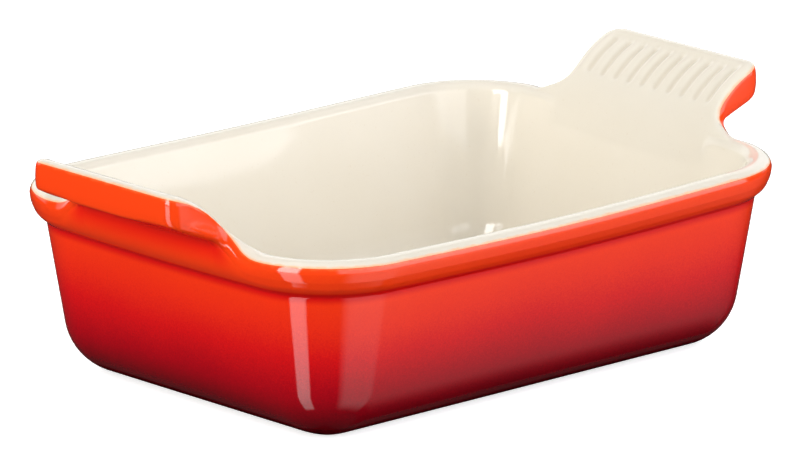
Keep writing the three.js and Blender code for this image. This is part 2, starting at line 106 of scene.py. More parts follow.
HALF_LENGTH = RIM_LENGTH / 2
HALF_WIDTH = RIM_WIDTH / 2
END_STRAIGHT = HALF_WIDTH - RIM_CORNER_RADIUS
CORNER_RUN = RIM_CORNER_RADIUS * math.pi / 2
SIDE_STRAIGHT = HALF_LENGTH - RIM_CORNER_RADIUS
QUARTER_RUN = END_STRAIGHT + CORNER_RUN + SIDE_STRAIGHT
GRIP_END = HANDLE_HALF_WIDTH - HANDLE_CORNER_RADIUS
FLANK_END = HANDLE_HALF_WIDTH - HANDLE_EDGE_WIDTH - 0.9
CORNER_END = (GRIP_END + FLANK_END) / 2
FOLD_END = HANDLE_HALF_WIDTH + FOLD_RADIUS + 1.5
NECK_END = HANDLE_HALF_WIDTH + NECK_RADIUS + 1.7
BAND_SLOPE = math.tan(BAND_TURN)
BAND_ARC_DEPTH = BAND_RADIUS * math.sin(BAND_TURN)
BAND_ARC_INSET = BAND_RADIUS * (1 - math.cos(BAND_TURN))


def lerp(a, b, t):
    return a + (b - a) * t


def clamp(v, low=0.0, high=1.0):
    return min(max(v, low), high)


def smoothstep(v, low, high):
    t = clamp((v - low) / (high - low))
    return t * t * (3 - 2 * t)


def between(value, low, high, ease):
    """1 between two limits and 0 outside, eased over the given width inside the limits."""
    return smoothstep(value, low, low + ease) * (1 - smoothstep(value, high - ease, high))


def soft_min(a, b, width):
    if width <= 0:
        return min(a, b)
    near = max(width - abs(a - b), 0.0)
    return min(a, b) - near * near / (4 * width)


def outline(run, inset, height):
    radius = max(RIM_CORNER_RADIUS - inset, LEAST_CORNER_RADIUS)
    share = clamp(height / RIM_HEIGHT)
    end_tilt = math.atan(2 * END_BOW * share / END_STRAIGHT)
    side_tilt = math.atan(2 * SIDE_BOW * share / SIDE_STRAIGHT)
    end_half = END_STRAIGHT
    side_half = SIDE_STRAIGHT
    for _ in range(4):
        end_bow = math.tan(end_tilt) * end_half / 2
        side_bow = math.tan(side_tilt) * side_half / 2
        end_half = HALF_WIDTH - inset - side_bow - radius * (math.cos(side_tilt) - math.sin(end_tilt))
        side_half = HALF_LENGTH - inset - end_bow - radius * (math.cos(end_tilt) - math.sin(side_tilt))
    if run <= END_STRAIGHT:
        along = run / END_STRAIGHT
        tilt = math.atan(math.tan(end_tilt) * along)
        x = HALF_LENGTH - inset - end_bow * along * along
        return x, end_half * along, math.cos(tilt), math.sin(tilt)
    if run <= END_STRAIGHT + CORNER_RUN:
        turn = lerp(end_tilt, math.pi / 2 - side_tilt, (run - END_STRAIGHT) / CORNER_RUN)
        nx, ny = math.cos(turn), math.sin(turn)
        x = HALF_LENGTH - inset - end_bow + radius * (nx - math.cos(end_tilt))
        return x, end_half + radius * (ny - math.sin(end_tilt)), nx, ny
    along = (QUARTER_RUN - run) / SIDE_STRAIGHT
    tilt = math.atan(math.tan(side_tilt) * along)
    y = HALF_WIDTH - inset - side_bow * along * along
    return side_half * along, y, math.sin(tilt), math.cos(tilt)


def flare_height(out):
    slope = math.atan(1 / INNER_WALL_DRAFT)
    sine = math.sin(FLARE_ANGLE) - (out + FLARE_START_INSET) / FLARE_RADIUS
    arc = min(sine, math.sin(slope))
    straight = (sine - arc) * FLARE_RADIUS * math.tan(slope)
    return FLARE_RADIUS * (math.sqrt(1 - arc * arc) - math.cos(FLARE_ANGLE)) - straight


def neck_height(y):
    past = HANDLE_HALF_WIDTH + NECK_RADIUS - y
    if past <= 0:
        return 0.0
    if past >= NECK_RADIUS:
        return NECK_RADIUS + (past - NECK_RADIUS) * 20
    return NECK_RADIUS - math.sqrt(NECK_RADIUS * NECK_RADIUS - past * past)


def flute_depth(out, y):
    if y > FLUTE_COUNT * FLUTE_PITCH / 2:
        return 0.0
    centre = (math.floor(y / FLUTE_PITCH) + 0.5) * FLUTE_PITCH
    hollow = (1 - smoothstep(abs(y - centre), 0, FLUTE_PITCH / 2)) ** 1.5
    inner = smoothstep(out, FLUTE_INNER_END, FLUTE_INNER_END + FLUTE_END_FADE)
    outer = 1 - smoothstep(out, FLUTE_OUTER_END - FLUTE_END_FADE, FLUTE_OUTER_END)
    return FLUTE_DEPTH * hollow * inner * outer


def field_depth(out, y):
    from_end = HANDLE_REACH - HANDLE_EDGE_WIDTH - out
    from_flank = HANDLE_HALF_WIDTH - HANDLE_EDGE_WIDTH - y
    border = smoothstep(from_end, 0, FIELD_BORDER) * smoothstep(from_flank, 0, FIELD_SIDE_BORDER)
    fade_end = FLUTE_INNER_END + FLUTE_END_FADE
    return FIELD_RECESS * border * smoothstep(out, fade_end - FIELD_INNER_FADE, fade_end)


FLANK_OUT_END = outline(FOLD_END, 0, RIM_HEIGHT)[0] - HALF_LENGTH + FOLD_RADIUS


def handle_edge(out, y, nx, ny, overhang):
    height = soft_min(flare_height(out), neck_height(y), 3)
    return HALF_LENGTH + out, y, nx, ny, height, overhang


def edge_at(run):
    corner = HANDLE_HALF_WIDTH - HANDLE_CORNER_RADIUS
    flank_start = HANDLE_REACH - HANDLE_CORNER_RADIUS
    if run <= GRIP_END:
        return handle_edge(HANDLE_REACH, run, 1, 0, 1)
    if run <= CORNER_END:
        turn = (run - GRIP_END) / (CORNER_END - GRIP_END) * math.pi / 2
        nx, ny = math.cos(turn), math.sin(turn)
        out = flank_start + HANDLE_CORNER_RADIUS * nx
        return handle_edge(out, corner + HANDLE_CORNER_RADIUS * ny, nx, ny, 1)
    if run <= FLANK_END:
        share = (run - CORNER_END) / (FLANK_END - CORNER_END)
        return handle_edge(lerp(flank_start, FLANK_OUT_END, share), HANDLE_HALF_WIDTH, 0, 1, 1)
    if run <= FOLD_END:
        turn = (run - FLANK_END) / (FOLD_END - FLANK_END) * math.pi / 2
        nx, ny = math.sin(turn), math.cos(turn)
        y = HANDLE_HALF_WIDTH + FOLD_RADIUS * (1 - ny)
        return handle_edge(FLANK_OUT_END - FOLD_RADIUS * nx, y, nx, ny, ny * ny)
    x, y, nx, ny = outline(run, 0, RIM_HEIGHT)
    return x, y, nx, ny, neck_height(y), 0.0


def top_height(x, y, inset):
    roll = clamp((inset - EDGE_WIDTH) / (RIM_INNER_INSET - EDGE_WIDTH))
    rim_top = RIM_INNER_DROP * (math.sqrt(1 - roll * roll) - 1)
    out = x - HALF_LENGTH
    limit = neck_height(y)
    bow = END_BOW * (y / END_STRAIGHT) ** 2 * (1 - smoothstep(out, -RIM_INNER_INSET, -2))
    rise = flare_height(out + bow) - rim_top
    if rise < 0:
        rise *= smoothstep(limit, 0, NECK_RADIUS)
    lift = soft_min(rise, limit, min(limit, rise, 4))
    return RIM_HEIGHT + rim_top + lift - field_depth(out, y) - flute_depth(out, y)


def fold_inset(run):
    if run <= FOLD_END:
        return FOLD_INSET * smoothstep(run, FLANK_END, FOLD_END)
    return FOLD_INSET * (1 - smoothstep(run, FOLD_END, NECK_END + 4))


FOLD_SHARES = (0.3, 0.6, 0.85, 0.8, 0.35)


def edge_point(run, step):
    x, y, nx, ny, height, _ = edge_at(run)
    fold = fold_inset(run) * FOLD_SHARES[step]
    x -= nx * fold
    y -= ny * fold
    on_handle = smoothstep(height, 0, 12)
    share = EDGE_SHARES[step]
    inward = share * lerp(EDGE_WIDTH, HANDLE_EDGE_WIDTH, on_handle)
    drop = (1 - math.sqrt(share * (2 - share))) * lerp(EDGE_DROP, HANDLE_EDGE_DROP, on_handle)
    x -= nx * inward
    y -= ny * inward
    return x, y, top_height(x, y, inward) - drop


def face_bottom(run):
    """Height of the lower edge of the outer face, measured from the rim."""
    x, _, _, _, height, overhang = edge_at(run)
    outer_bottom = flare_height(HANDLE_REACH) - HANDLE_FACE_HEIGHT
    underside = lerp(UNDERSIDE_RISE, outer_bottom, (x - HALF_LENGTH) / HANDLE_REACH)
    to_corner = smoothstep(run, GRIP_END - FACE_CORNER_RUN, CORNER_END)
    underside += FACE_CORNER_LIFT * to_corner * (1 - smoothstep(run, CORNER_END, FOLD_END))
    return lerp(min(height, NECK_FACE_RISE) - PLAIN_FACE_DROP, underside, overhang)


def band_top(run):
    return soft_min(UNDERSIDE_RISE, face_bottom(run) - 3, 2)


def wall_inset(z):
    return BAND_STEP + WALL_DRAFT * (RIM_HEIGHT - BAND_BOTTOM_DROP - z)


def band_inset(below):
    under = max(below - BAND_BULGE_DROP, 0.0)
    inset = BAND_ARC_INSET + (under - BAND_ARC_DEPTH) * BAND_SLOPE
    if under < BAND_ARC_DEPTH:
        inset = BAND_RADIUS - math.sqrt(BAND_RADIUS * BAND_RADIUS - under * under)
    return soft_min(inset, wall_inset(RIM_HEIGHT - below), BAND_BLEND)


def groove_drop():
    arc_end = BAND_BULGE_DROP + BAND_ARC_DEPTH
    gap = wall_inset(RIM_HEIGHT - arc_end) - BAND_ARC_INSET
    return arc_end + gap / (BAND_SLOPE - WALL_DRAFT)


def ring(run, inset, z):
    x, y, _, _ = outline(run, inset, z)
    return x, y, z


def band_point(run, share):
    drop = lerp(groove_drop() - BAND_BLEND, -band_top(run), share)
    return ring(run, band_inset(drop), RIM_HEIGHT - drop)


def lower_edge_point(run, inward, lift):
    x, y, nx, ny, _, overhang = edge_at(run)
    z = face_bottom(run) + lift
    out = lerp(band_inset(-z), inward, overhang)
    return x - nx * out, y - ny * out, RIM_HEIGHT + z


def mix(a, b, t):
    return tuple(lerp(p, q, t) for p, q in zip(a, b))


def underside_point(run, share):
    return mix(band_point(run, 1), lower_edge_point(run, LOWER_EDGE_ROUND * 1.6, -0.35), share)


def sheet_point(run, share):
    outer = edge_point(run, 0)
    x, y, _, _ = outline(run, RIM_INNER_INSET, RIM_HEIGHT)
    x = lerp(x, outer[0], share)
    y = lerp(y, outer[1], share**4 if run <= FLANK_END else share)
    return x, y, top_height(x, y, lerp(RIM_INNER_INSET, EDGE_WIDTH, share))


def fillet_rows(wall_inset_at_floor, draft, radius, floor, start, end, count):
    centre = wall_inset_at_floor - draft * radius + radius * math.hypot(1, draft)
    angles = [lerp(start, end, i / (count - 1)) for i in range(count)]
    return [(centre - radius * math.sin(a), floor + radius * (1 - math.cos(a))) for a in angles]


def inner_inset(z):
    return INNER_WALL_TOP_INSET + INNER_WALL_DRAFT * (RIM_HEIGHT - INNER_WALL_TOP_DROP - z)


def settle(point):
    x, y, z = point
    along = min(abs(x) / (SIDE_STRAIGHT + RIM_CORNER_RADIUS / 2), 1)
    amount = (1 - along * along) ** 2 * smoothstep(z, FLOOR_HEIGHT + 10, RIM_HEIGHT)
    return x, y, z - RIM_SAG * amount


# Rows of the glazed surface, from the base up the outside, over the edge and down the inside.


def spread(start, end, count):
    return [lerp(start, end, (i + 1) / count) for i in range(count)]


STATIONS = [
    0.0,
    *spread(0, GRIP_END, 72),
    *spread(GRIP_END, CORNER_END, 12),
    *spread(CORNER_END, FLANK_END, 5),
    *spread(FLANK_END, FOLD_END, 10),
    *spread(FOLD_END, NECK_END, 10),
    *spread(NECK_END, END_STRAIGHT + CORNER_RUN, 22),
    *spread(END_STRAIGHT + CORNER_RUN, QUARTER_RUN, 10),
]
WALL_ANGLE = math.pi / 2 - math.atan(WALL_DRAFT)
INNER_WALL_ANGLE = math.pi / 2 - math.atan(INNER_WALL_DRAFT)
BASE_FILLET = fillet_rows(
    wall_inset(0), WALL_DRAFT, BASE_FILLET_RADIUS, 0, GLAZE_END_ANGLE, WALL_ANGLE, 12
)
FLOOR_FILLET = fillet_rows(
    inner_inset(FLOOR_HEIGHT), INNER_WALL_DRAFT, FLOOR_FILLET_RADIUS, FLOOR_HEIGHT,
    INNER_WALL_ANGLE, 0, 11,
)


def inner_corner(run):
    """Soft inner corner between the band and the underside of a handle."""
    eased = mix(band_point(run, 0.8), underside_point(run, 0.2), 0.5)
    return mix(eased, band_point(run, 1), 0.5)


def level(inset, z):
    return lambda run: ring(run, inset, z)


def surface_rows():
    """Rows, each a place and the steps to the next, the row where colours meet, and the groove's row."""
    rows = [(level(inset, z), 1) for inset, z in BASE_FILLET]
    groove = RIM_HEIGHT - groove_drop()
    walls = spread(BASE_FILLET[-1][1], groove - BAND_BLEND, 6)
    bends = [groove + BAND_BLEND * step for step in (-0.6, -0.3, 0, 0.3, 0.6)]
    rows += [(level(band_inset(RIM_HEIGHT - z), z), 1) for z in walls + bends]
    groove_row = len(rows) - 3
    for share in (0, 0.1, 0.22, 0.35, 0.5, 0.65, 0.8):
        rows.append((lambda run, s=share: band_point(run, s), 2))
    rows.append((inner_corner, 3))
    for share in (0.2, 0.45, 0.7):
        rows.append((lambda run, s=share: underside_point(run, s), 2))
    rows.append((lambda run: lower_edge_point(run, LOWER_EDGE_ROUND * 1.6, -0.35), 3))
    rows.append((lambda run: lower_edge_point(run, LOWER_EDGE_ROUND * 0.35, 0.2), 3))
    rows.append((lambda run: lower_edge_point(run, 0, LOWER_EDGE_ROUND), 4))
    rows.append((lambda run: edge_point(run, 4), 3))
    boundary = len(rows)
    for step_of_edge in (3, 2, 1):
        rows.append((lambda run, s=step_of_edge: edge_point(run, s), 3))
    for share in np.linspace(1, 0, 28):
        rows.append((lambda run, s=share: sheet_point(run, s), 1))
    rows[-1] = (rows[-1][0], 3)
    top = RIM_HEIGHT - INNER_WALL_TOP_DROP
    rows.append((level(inner_inset(top), top), 2))
    for z in spread(top, FLOOR_FILLET[0][1], 6)[:-1]:
        rows.append((level(inner_inset(z), z), 1))
    rows += [(level(inset, z), 1) for inset, z in FLOOR_FILLET]
    return rows, boundary, groove_row


def spline(before, start, end, after, t):
    """Point on a smooth curve from start to end, with its neighbours on both sides."""
    k1 = math.sqrt(max(math.dist(before, start), 1e-6))
    k2 = k1 + math.sqrt(max(math.dist(start, end), 1e-6))
    k3 = k2 + math.sqrt(max(math.dist(end, after), 1e-6))
    k = lerp(k1, k2, t)
    a1 = (before * (k1 - k) + start * k) / k1
    a2 = (start * (k2 - k) + end * (k - k1)) / (k2 - k1)
    a3 = (end * (k3 - k) + after * (k - k2)) / (k3 - k2)
    b1 = (a1 * (k2 - k) + a2 * k) / k2
    b2 = (a2 * (k3 - k) + a3 * (k - k1)) / (k3 - k1)
    return (b1 * (k2 - k) + b2 * (k - k1)) / (k2 - k1)


def profile(run, rows):
    points = [np.array(settle(place(run)), float) for place, _ in rows]
    line = []
    for i, point in enumerate(points):
        line.append(point)
        if i + 1 == len(points):
            break
        around = points[max(i - 1, 0)], point, points[i + 1], points[min(i + 2, len(points) - 1)]
        steps = rows[i][1]
        line += [spline(*around, s / steps) for s in range(1, steps)]
    return line


def all_round(quarter):
    """Rings through all four quarters of the dish, from the rows of one quarter."""
    parts = []
    for turn in range(4):
        part = quarter[:, ::-1] if turn % 2 else quarter
        flip = np.array([-1 if turn in (1, 2) else 1, -1 if turn >= 2 else 1, 1])
        parts.append(part[:, :-1] * flip)
    return np.concatenate(parts, 1)


def rings(places):
    return all_round(np.array([[settle(place(run)) for run in STATIONS] for place in places], float))


# Meshes

MM = 0.001


def grid_faces(rows, around):
    """Quads between closed rings of points, facing outwards when the rings run up the outside."""
    low = np.arange(rows - 1)[:, None] * around
    here = np.arange(around)[None, :]
    there = (here + 1) % around
    corners = [low + here, low + there, low + around + there, low + around + here]
    return np.stack(corners, -1).reshape(-1, 4)


def normals_of(points, quads):
    """Outward direction at each point, as the mean of the faces around it."""
    a, b, c, d = (points[quads[:, k]] for k in range(4))
    face = np.cross(c - a, d - b)
    total = np.zeros_like(points)
    for k in range(4):
        np.add.at(total, quads[:, k], face)
    return total / np.maximum(np.linalg.norm(total, axis=1, keepdims=True), 1e-12)


def make_piece(name, points, faces, material, node, normals=None, layers=None):
    mesh = bpy.data.meshes.new(name)
    mesh.from_pydata((points * MM).tolist(), [], [list(map(int, f)) for f in faces])
    mesh.validate()
    mesh.update()
    for layer, values in (layers or {}).items():
        attribute = mesh.attributes.new(layer, "FLOAT", "POINT")
        attribute.data.foreach_set("value", np.asarray(values, np.float32))
    mesh.shade_smooth()
    if normals is None:
        mesh.set_sharp_from_angle(angle=math.radians(40))
    else:
        mesh.normals_split_custom_set_from_vertices(normals.tolist())
    mesh.materials.append(material)
    piece = bpy.data.objects.new(name, mesh)
    bpy.context.scene.collection.objects.link(piece)
    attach(piece, "root")
    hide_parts(node)
    return piece


# The four pieces

rows, boundary_row, groove_row = surface_rows()
first_of = np.concatenate([[0], np.cumsum([steps for _, steps in rows])])
BOUNDARY, GROOVE = int(first_of[boundary_row]), int(first_of[groove_row])
quarter = np.stack([np.array(profile(run, rows)) for run in STATIONS], 1)

# The clay is worked smooth where the flank of a handle runs out into the band
in_neck = np.array([between(run, FLANK_END - 3, NECK_END, 4) for run in STATIONS])
on_band = np.array([between(i, GROOVE + 4, BOUNDARY - 1, 4) for i in range(len(quarter))])
ease = (on_band[:, None] * in_neck[None, :])[1:-1, 1:-1, None]
for _ in range(NECK_PASSES):
    around = quarter[:-2, 1:-1] + quarter[2:, 1:-1] + quarter[1:-1, :-2] + quarter[1:-1, 2:]
    quarter[1:-1, 1:-1] += 0.5 * ease * (around / 4 - quarter[1:-1, 1:-1])
surface = all_round(quarter)

# How far each place lies under a handle, where painted shade makes the red band deeper
UNDER_HANDLE_SHADE_ROWS = (5, 10, 13, 15)
start, full, end, clear = (int(first_of[groove_row + k]) for k in UNDER_HANDLE_SHADE_ROWS)
under_handle = np.array(
    [smoothstep(i, start, full) * (1 - smoothstep(i, end, clear)) for i in range(len(quarter))]
)
beside = np.array([1 - smoothstep(run, FLANK_END - 1, FOLD_END + 1) for run in STATIONS])
under_handle_shade_share = under_handle[:, None] * beside[None, :]
under_handle_shade_share = all_round(np.stack([under_handle_shade_share * 0, under_handle_shade_share * 0, under_handle_shade_share], -1))[:, :, 2]

AROUND = surface.shape[1]
FLOOR_SHARES = (0.8, 0.6, 0.4, 0.2)
floor_rings = [surface[-1] * np.array([s, s, 1]) for s in FLOOR_SHARES]
surface = np.concatenate([surface, np.stack(floor_rings)])
ROWS = len(surface)
points = surface.reshape(-1, 3)
quads = grid_faces(ROWS, AROUND)
normals = normals_of(points, quads)
normals[-AROUND * len(FLOOR_SHARES):] = (0, 0, 1)
under = points - normals * GLAZE_THICKNESS

# What the materials use: distances along the surface from the line where the colours meet and from
# the groove, how much painted shade falls under a handle, and how deep in a flute each place is
lengths = np.linalg.norm(np.diff(surface, axis=0), axis=2)
travel = np.concatenate([np.zeros((1, AROUND)), np.cumsum(lengths, 0)])
from_edge = (travel - travel[BOUNDARY]).reshape(-1)
from_groove = (travel - travel[GROOVE]).reshape(-1)
under_handle_shade = np.concatenate([under_handle_shade_share.reshape(-1), np.zeros(len(points) - under_handle_shade_share.size)])
in_flute = np.array([flute_depth(abs(x) - HALF_LENGTH, abs(y)) / FLUTE_DEPTH for x, y, _ in points])
FAR = 60.0


def coat(first, last, closed_floor):
    """A glaze coat: its face, its back and its edges, as points, faces, normals and layers."""
    span = slice(first * AROUND, (last + 1) * AROUND)
    face_points, back_points, face_normals = points[span], under[span], normals[span]
    count = len(face_points)
    grid = grid_faces(last - first + 1, AROUND)
    here = np.arange(AROUND)
    there = (here + 1) % AROUND
    start = np.stack([there, here, here + count, there + count], -1)
    faces = [grid, grid[:, ::-1] + count, start]
    extra_points, extra_normals, extra_edges = [], [], []
    top = count - AROUND
    if closed_floor:
        middle = face_points[top:].mean(0)
        extra_points = [middle, middle - (0, 0, GLAZE_THICKNESS)]
        extra_normals = [(0, 0, 1), (0, 0, -1)]
        extra_edges = [FAR, FAR]
        fans = [np.stack([top + here, top + there, np.full(AROUND, 2 * count)], -1)]
        under_top = top + count
        fans.append(np.stack([under_top + there, under_top + here, np.full(AROUND, 2 * count + 1)], -1))
    else:
        faces.append(np.stack([top + here, top + there, top + count + there, top + count + here], -1))
        fans = []
    all_points = np.concatenate([face_points, back_points, np.reshape(extra_points, (-1, 3))])
    all_normals = np.concatenate([face_normals, -face_normals, np.reshape(extra_normals, (-1, 3))])
    named = {
        "from_edge": from_edge,
        "from_groove": from_groove,
        "under_handle_shade": under_handle_shade,
        "in_flute": in_flute,
    }
    layers = {}
    for name, values in named.items():
        far = extra_edges if name.startswith("from") else [0.0] * len(extra_edges)
        layers[name] = np.concatenate([values[span], values[span], far])
    return all_points, [f for part in faces + fans for f in part], all_normals, layers


def solid_from(ring_points, top_middle, bottom_middle):
    """A closed solid from rings that start around bottom_middle and end around top_middle."""
    count = len(ring_points)
    flat = np.concatenate([ring_points.reshape(-1, 3), [bottom_middle, top_middle]])
    here = np.arange(AROUND)
    there = (here + 1) % AROUND
    last = (count - 1) * AROUND
    faces = list(grid_faces(count, AROUND))
    faces += list(np.stack([there, here, np.full(AROUND, count * AROUND)], -1))
    faces += list(np.stack([last + here, last + there, np.full(AROUND, count * AROUND + 1)], -1))
    return flat, faces


# Colours of the glazes and the clay, and levels of light

RED_FADE = [
    (0.00, (0.125, 0.004, 0.007)),
    (0.10, (0.19, 0.0025, 0.0075)),
    (0.28, (0.415, 0.0025, 0.009)),
    (0.45, (0.70, 0.007, 0.009)),
    (0.60, (0.87, 0.027, 0.008)),
    (0.75, (0.95, 0.042, 0.007)),
    (0.90, (0.97, 0.058, 0.007)),
    (1.00, (0.97, 0.060, 0.007)),
]
# Deeper red in the groove under the band: partly pooled glaze, partly painted shade
POOLED_AND_SHADED = (0.76, 0.10, 0.85)
# Tint of the painted shade on the band under the handles
HANDLE_SHADE_TINT = (0.92, 0.22, 0.85)
EDGE_ORANGE = (0.95, 0.13, 0.03)
EDGE_PEACH = (0.93, 0.48, 0.24)
CREAM = (0.77, 0.716, 0.62)
CREAM_WARM = (0.755, 0.698, 0.596)
# Darker cream in the flutes: partly pooled glaze, partly painted shade
CREAM_POOLED_AND_SHADED = (0.60, 0.52, 0.40)
CREAM_SPECK = (0.62, 0.50, 0.36)
CLAY = (0.60, 0.46, 0.32)
CLAY_DARK = (0.50, 0.37, 0.25)
CLAY_GRAIN = (0.30, 0.20, 0.13)
BASE_RED = (0.17, 0.006, 0.010)
BASE_RED_DARK = (0.12, 0.005, 0.008)
BASE_FLECK = (0.30, 0.02, 0.012)
FLOOR_GLOW = 0.7
FLOOR_BOUNCE = 0.26
AMBIENT = 0.2
SURROUND = 0.03


# Materials


class Nodes:
    """Small helper to write a node material from the top down."""

    def __init__(self, name):
        self.material = bpy.data.materials.new(name)
        self.material.use_nodes = True
        self.tree = self.material.node_tree
        self.shader = self.tree.nodes["Principled BSDF"]
        self.place = self.add("ShaderNodeTexCoord").outputs["Object"]

    def add(self, kind, **settings):
        node = self.tree.nodes.new(kind)
        for key, value in settings.items():
            setattr(node, key, value)
        return node

    def link(self, value, socket):
        if hasattr(value, "is_linked"):
            self.tree.links.new(value, socket)
        else:
            socket.default_value = value

    def math(self, operation, *values):
        node = self.add("ShaderNodeMath", operation=operation)
        for value, socket in zip(values, node.inputs):
            self.link(value, socket)
        return node.outputs[0]

    def noise(self, scale, detail=2.0, roughness=0.5):
        node = self.add("ShaderNodeTexNoise")
        self.link(self.place, node.inputs["Vector"])
        node.inputs["Scale"].default_value = scale
        node.inputs["Detail"].default_value = detail
        node.inputs["Roughness"].default_value = roughness
        return node.outputs["Fac"]

    def remap(self, value, start, end, low, high, smooth=False):
        node = self.add("ShaderNodeMapRange", interpolation_type="SMOOTHSTEP" if smooth else "LINEAR")
        self.link(value, node.inputs["Value"])
        for name, number in zip(("From Min", "From Max", "To Min", "To Max"), (start, end, low, high)):
            node.inputs[name].default_value = number
        return node.outputs["Result"]

    def ramp(self, value, stops):
        node = self.add("ShaderNodeValToRGB")
        elements = node.color_ramp.elements
        while len(elements) < len(stops):
            elements.new(0.5)
        for element, (position, color) in zip(elements, stops):
            element.position = position
            element.color = (*color, 1)
        self.link(value, node.inputs["Fac"])
        return node.outputs["Color"]

    def mix(self, factor, a, b, blend="MIX"):
        node = self.add("ShaderNodeMix", data_type="RGBA", blend_type=blend)
        self.link(factor, node.inputs["Factor"])
        for color, socket in ((a, node.inputs["A"]), (b, node.inputs["B"])):
            self.link(color if hasattr(color, "is_linked") else (*color, 1), socket)
        return node.outputs["Result"]

    def height(self):
        node = self.add("ShaderNodeSeparateXYZ")
        self.link(self.place, node.inputs[0])
        return node.outputs["Z"]

    def layer(self, name):
        return self.add("ShaderNodeAttribute", attribute_name=name).outputs["Fac"]

    def bump(self, value, strength, distance, below=None):
        node = self.add("ShaderNodeBump")
        node.inputs["Strength"].default_value = strength
        node.inputs["Distance"].default_value = distance
        self.link(value, node.inputs["Height"])
        if below is not None:
            self.link(below, node.inputs["Normal"])
        return node.outputs["Normal"]

    def finish(self, color, roughness, normal):
        self.link(color, self.shader.inputs["Base Color"])
        self.link(roughness, self.shader.inputs["Roughness"])
        self.link(normal, self.shader.inputs["Normal"])
        return self.material


def glaze_waves(nodes):
    """The slight unevenness of a fired glaze."""
    waves = nodes.bump(nodes.noise(45, 1), 0.10, 0.0006)
    return nodes.bump(nodes.noise(420, 2), 0.05, 0.00012, waves)


def frayed_edge(nodes, amount):
    """Distance from the line where the colours meet, made a little uneven, in millimetres."""
    uneven = nodes.remap(nodes.noise(260, 2), 0.3, 0.7, -amount, amount)
    return nodes.math("ADD", nodes.layer("from_edge"), uneven)


def red_glaze():
    nodes = Nodes("red_glaze")
    drift = nodes.remap(nodes.noise(16, 3), 0.3, 0.7, -0.0022, 0.0022)
    spray = nodes.remap(nodes.noise(1500, 3, 0.7), 0.3, 0.7, -0.0045, 0.0045)
    height = nodes.math("ADD", nodes.math("ADD", nodes.height(), drift), spray)
    color = nodes.ramp(nodes.remap(height, 0, 0.08, 0, 1), RED_FADE)
    at_edge = nodes.remap(frayed_edge(nodes, 0.35), -1.1, 0.1, 0, 0.75, True)
    color = nodes.mix(at_edge, color, EDGE_ORANGE)
    # Deeper red along the groove under the band: partly glaze pooled there, partly painted shade
    groove_pool_and_shade = nodes.remap(nodes.math("ABSOLUTE", nodes.layer("from_groove")), 0.9, 4.2, 0.95, 0, True)
    color = nodes.mix(groove_pool_and_shade, color, nodes.mix(1.0, color, POOLED_AND_SHADED, "MULTIPLY"))
    # Painted shade on the band under the handles: the red is made deeper there
    color = nodes.mix(nodes.layer("under_handle_shade"), color, nodes.mix(1.0, color, HANDLE_SHADE_TINT, "MULTIPLY"))
    roughness = nodes.remap(nodes.noise(60, 3), 0.3, 0.7, 0.045, 0.085)
    return nodes.finish(color, roughness, glaze_waves(nodes))


def cream_glaze():
    nodes = Nodes("cream_glaze")
    color = nodes.mix(nodes.remap(nodes.noise(20, 4), 0.35, 0.65, 0, 1), CREAM, CREAM_WARM)
    specks = nodes.remap(nodes.noise(900, 1), 0.70, 0.76, 0, 0.16)
    color = nodes.mix(specks, color, CREAM_SPECK)
    # Darker cream in the flutes: partly glaze pooled there, partly painted shade
    color = nodes.mix(nodes.remap(nodes.layer("in_flute"), 0.3, 1.0, 0, 0.4, True), color, CREAM_POOLED_AND_SHADED)
    at_edge = nodes.remap(frayed_edge(nodes, 0.3), 0.0, 1.3, 0.85, 0, True)
    color = nodes.mix(at_edge, color, EDGE_PEACH)
    roughness = nodes.remap(nodes.noise(60, 3), 0.3, 0.7, 0.05, 0.095)
    return nodes.finish(color, roughness, glaze_waves(nodes))


def stoneware():
    nodes = Nodes("stoneware")
    color = nodes.mix(nodes.remap(nodes.noise(40, 5), 0.3, 0.7, 0, 1), CLAY, CLAY_DARK)
    color = nodes.mix(nodes.remap(nodes.noise(1300, 2), 0.62, 0.72, 0, 0.5), color, CLAY_GRAIN)
    grain = nodes.bump(nodes.noise(900, 4, 0.7), 0.35, 0.0003)
    return nodes.finish(color, nodes.remap(nodes.noise(200, 2), 0.3, 0.7, 0.78, 0.92), grain)


def base_red_glaze():
    nodes = Nodes("base_red_glaze")
    color = nodes.mix(nodes.remap(nodes.noise(30, 4), 0.3, 0.7, 0, 1), BASE_RED, BASE_RED_DARK)
    color = nodes.mix(nodes.remap(nodes.noise(1200, 2), 0.64, 0.72, 0, 0.4), color, BASE_FLECK)
    return nodes.finish(color, nodes.remap(nodes.noise(60, 3), 0.3, 0.7, 0.10, 0.18), glaze_waves(nodes))


# Put the pieces together

outer_points, outer_faces, outer_normals, outer_layers = coat(0, BOUNDARY, False)
make_piece(
    "outer_glaze_look", outer_points, outer_faces, red_glaze(), "outer_glaze",
    outer_normals, outer_layers,
)
inner_points, inner_faces, inner_normals, inner_layers = coat(BOUNDARY, ROWS - 1, True)
make_piece(
    "inner_glaze_look", inner_points, inner_faces, cream_glaze(), "inner_glaze",
    inner_normals, inner_layers,
)

